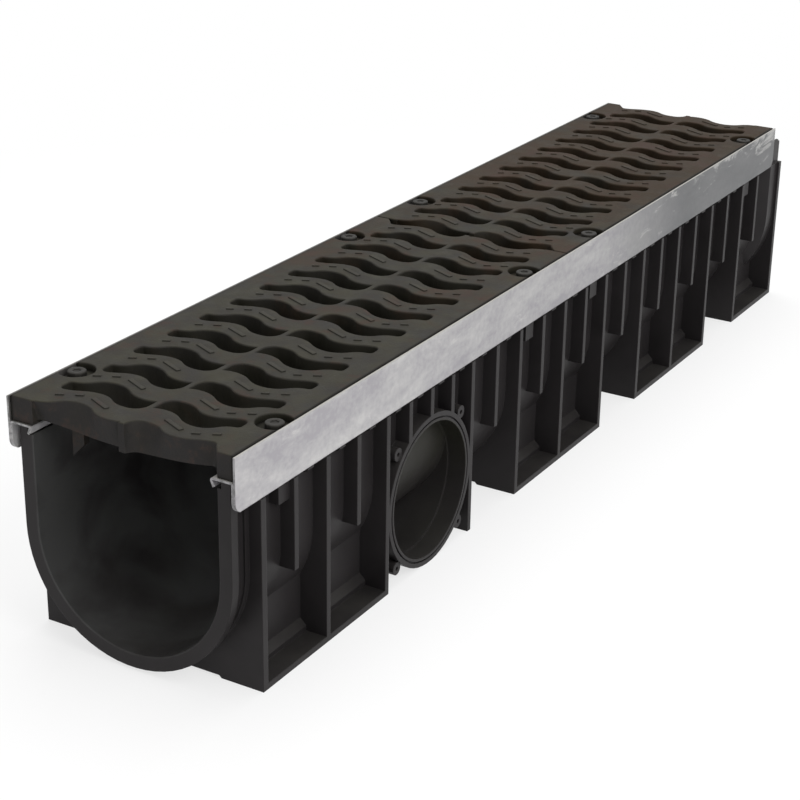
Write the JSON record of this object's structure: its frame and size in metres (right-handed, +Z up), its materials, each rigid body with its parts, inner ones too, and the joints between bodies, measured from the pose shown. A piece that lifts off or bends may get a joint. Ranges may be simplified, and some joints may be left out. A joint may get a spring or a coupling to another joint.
{
  "type": "channel drain",
  "caption": "Linear drainage channel unit: ribbed plastic trough with spigot and socket ends, a side pipe outlet, galvanised edge rails and bolted cast gratings with wave-shaped slots.",
  "frame": {"origin": "centre of the unit's footprint on the ground plane its feet stand on", "axes": "+Z up, +Y along the run from the spigot end to the socket end, +X across the channel towards the side outlet"},
  "size_m": [0.1978, 1.028, 0.1967],
  "materials": {
    "moulded_plastic": "satin black moulded polypropylene",
    "galvanised_sheet": "hot-dip galvanised, mottled matte",
    "cast_iron": "dark brown-black coated casting",
    "plated_screw": "dull zinc plated",
    "plated_nut": "zinc plated"
  },
  "bodies": {
    "root": {"channel_body": "moulded_plastic", "edge_rail_left": "galvanised_sheet", "edge_rail_right": "galvanised_sheet", "grating_front": "cast_iron", "grating_rear": "cast_iron", "grating_screw_left_1": "plated_screw", "captive_nut_left_1": "plated_nut", "grating_screw_left_2": "plated_screw", "captive_nut_left_2": "plated_nut", "grating_screw_left_3": "plated_screw", "captive_nut_left_3": "plated_nut", "grating_screw_left_4": "plated_screw", "captive_nut_left_4": "plated_nut", "grating_screw_right_1": "plated_screw", "captive_nut_right_1": "plated_nut", "grating_screw_right_2": "plated_screw", "captive_nut_right_2": "plated_nut", "grating_screw_right_3": "plated_screw", "captive_nut_right_3": "plated_nut", "grating_screw_right_4": "plated_screw", "captive_nut_right_4": "plated_nut"}
  },
  "joints": []
}
